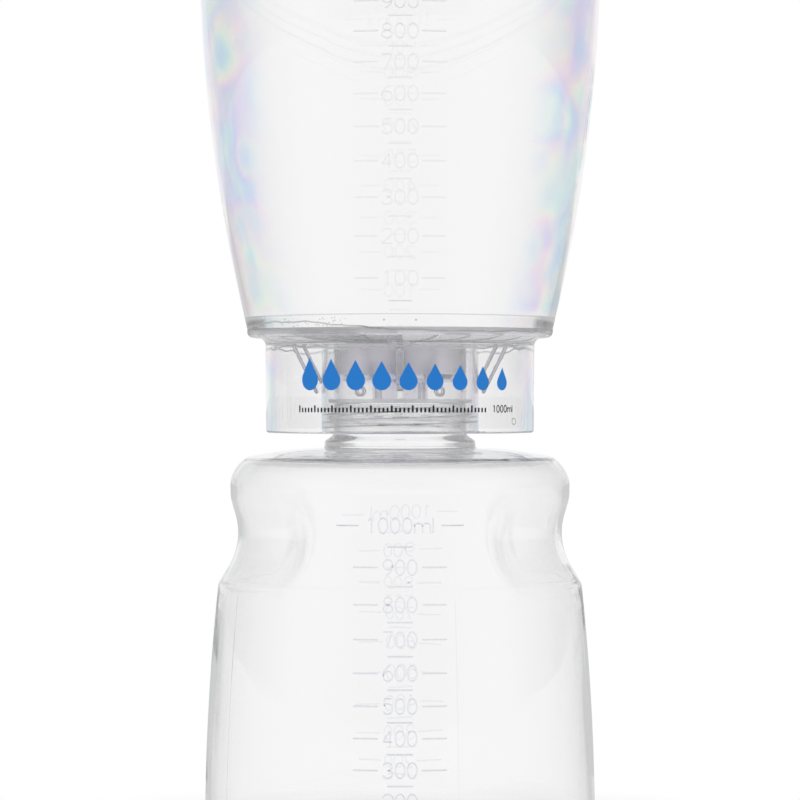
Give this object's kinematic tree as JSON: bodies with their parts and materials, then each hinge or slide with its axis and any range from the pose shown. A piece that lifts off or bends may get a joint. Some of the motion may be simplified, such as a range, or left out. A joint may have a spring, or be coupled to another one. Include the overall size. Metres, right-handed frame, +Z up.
{
  "type": "vacuum filtration unit",
  "caption": "Clear funnel with a membrane collar that screws onto a clear receiver bottle, for filtering liquids under vacuum.",
  "frame": {"origin": "centre of the bottle's standing ring, on the surface it stands on", "axes": "+Z up the common axis of bottle, collar and funnel; -Y is the front with the scales, and the hose connector points to +Y"},
  "size_m": [0.1298, 0.1298, 0.2826],
  "materials": {
    "clear_bottle": "clear polished polystyrene",
    "gasket_rubber": "soft translucent silicone",
    "clear_collar": "clear polished polystyrene, with a frosted panel at the front",
    "clear_guard": "clear polystyrene",
    "connector_plastic": "natural translucent plastic",
    "plug_fibre": "white pressed fibre",
    "membrane_white": "matt white polymer membrane",
    "clear_funnel": "clear polished polystyrene",
    "clear_lid": "clear polished polystyrene"
  },
  "bodies": {
    "bottle": {"bottle": "clear_bottle"},
    "seal": {"neck_gasket": "gasket_rubber"},
    "filter_head": {"collar": "clear_collar", "splash_guard": "clear_guard", "hose_connector": "connector_plastic", "vent_plug": "plug_fibre", "membrane": "membrane_white", "funnel": "clear_funnel"},
    "lid": {"lid": "clear_lid"}
  },
  "joints": [
    {"name": "collar_rise", "type": "slide", "parent": "bottle", "child": "seal", "axis": [0, 0, 1], "range_m": [0, 0.008]},
    {"name": "collar_unscrew", "type": "hinge", "parent": "seal", "child": "filter_head", "pos_m": [0, 0, 0.135], "axis": [0, 0, 1], "range_deg": [0, 720]},
    {"name": "lid_lift", "type": "slide", "parent": "filter_head", "child": "lid", "axis": [0, 0, 1], "range_m": [0, 0.04]}
  ],
  "couplings": [
    {"joint": "collar_rise", "follows": "collar_unscrew", "m_per_rad": 0.00063662}
  ]
}
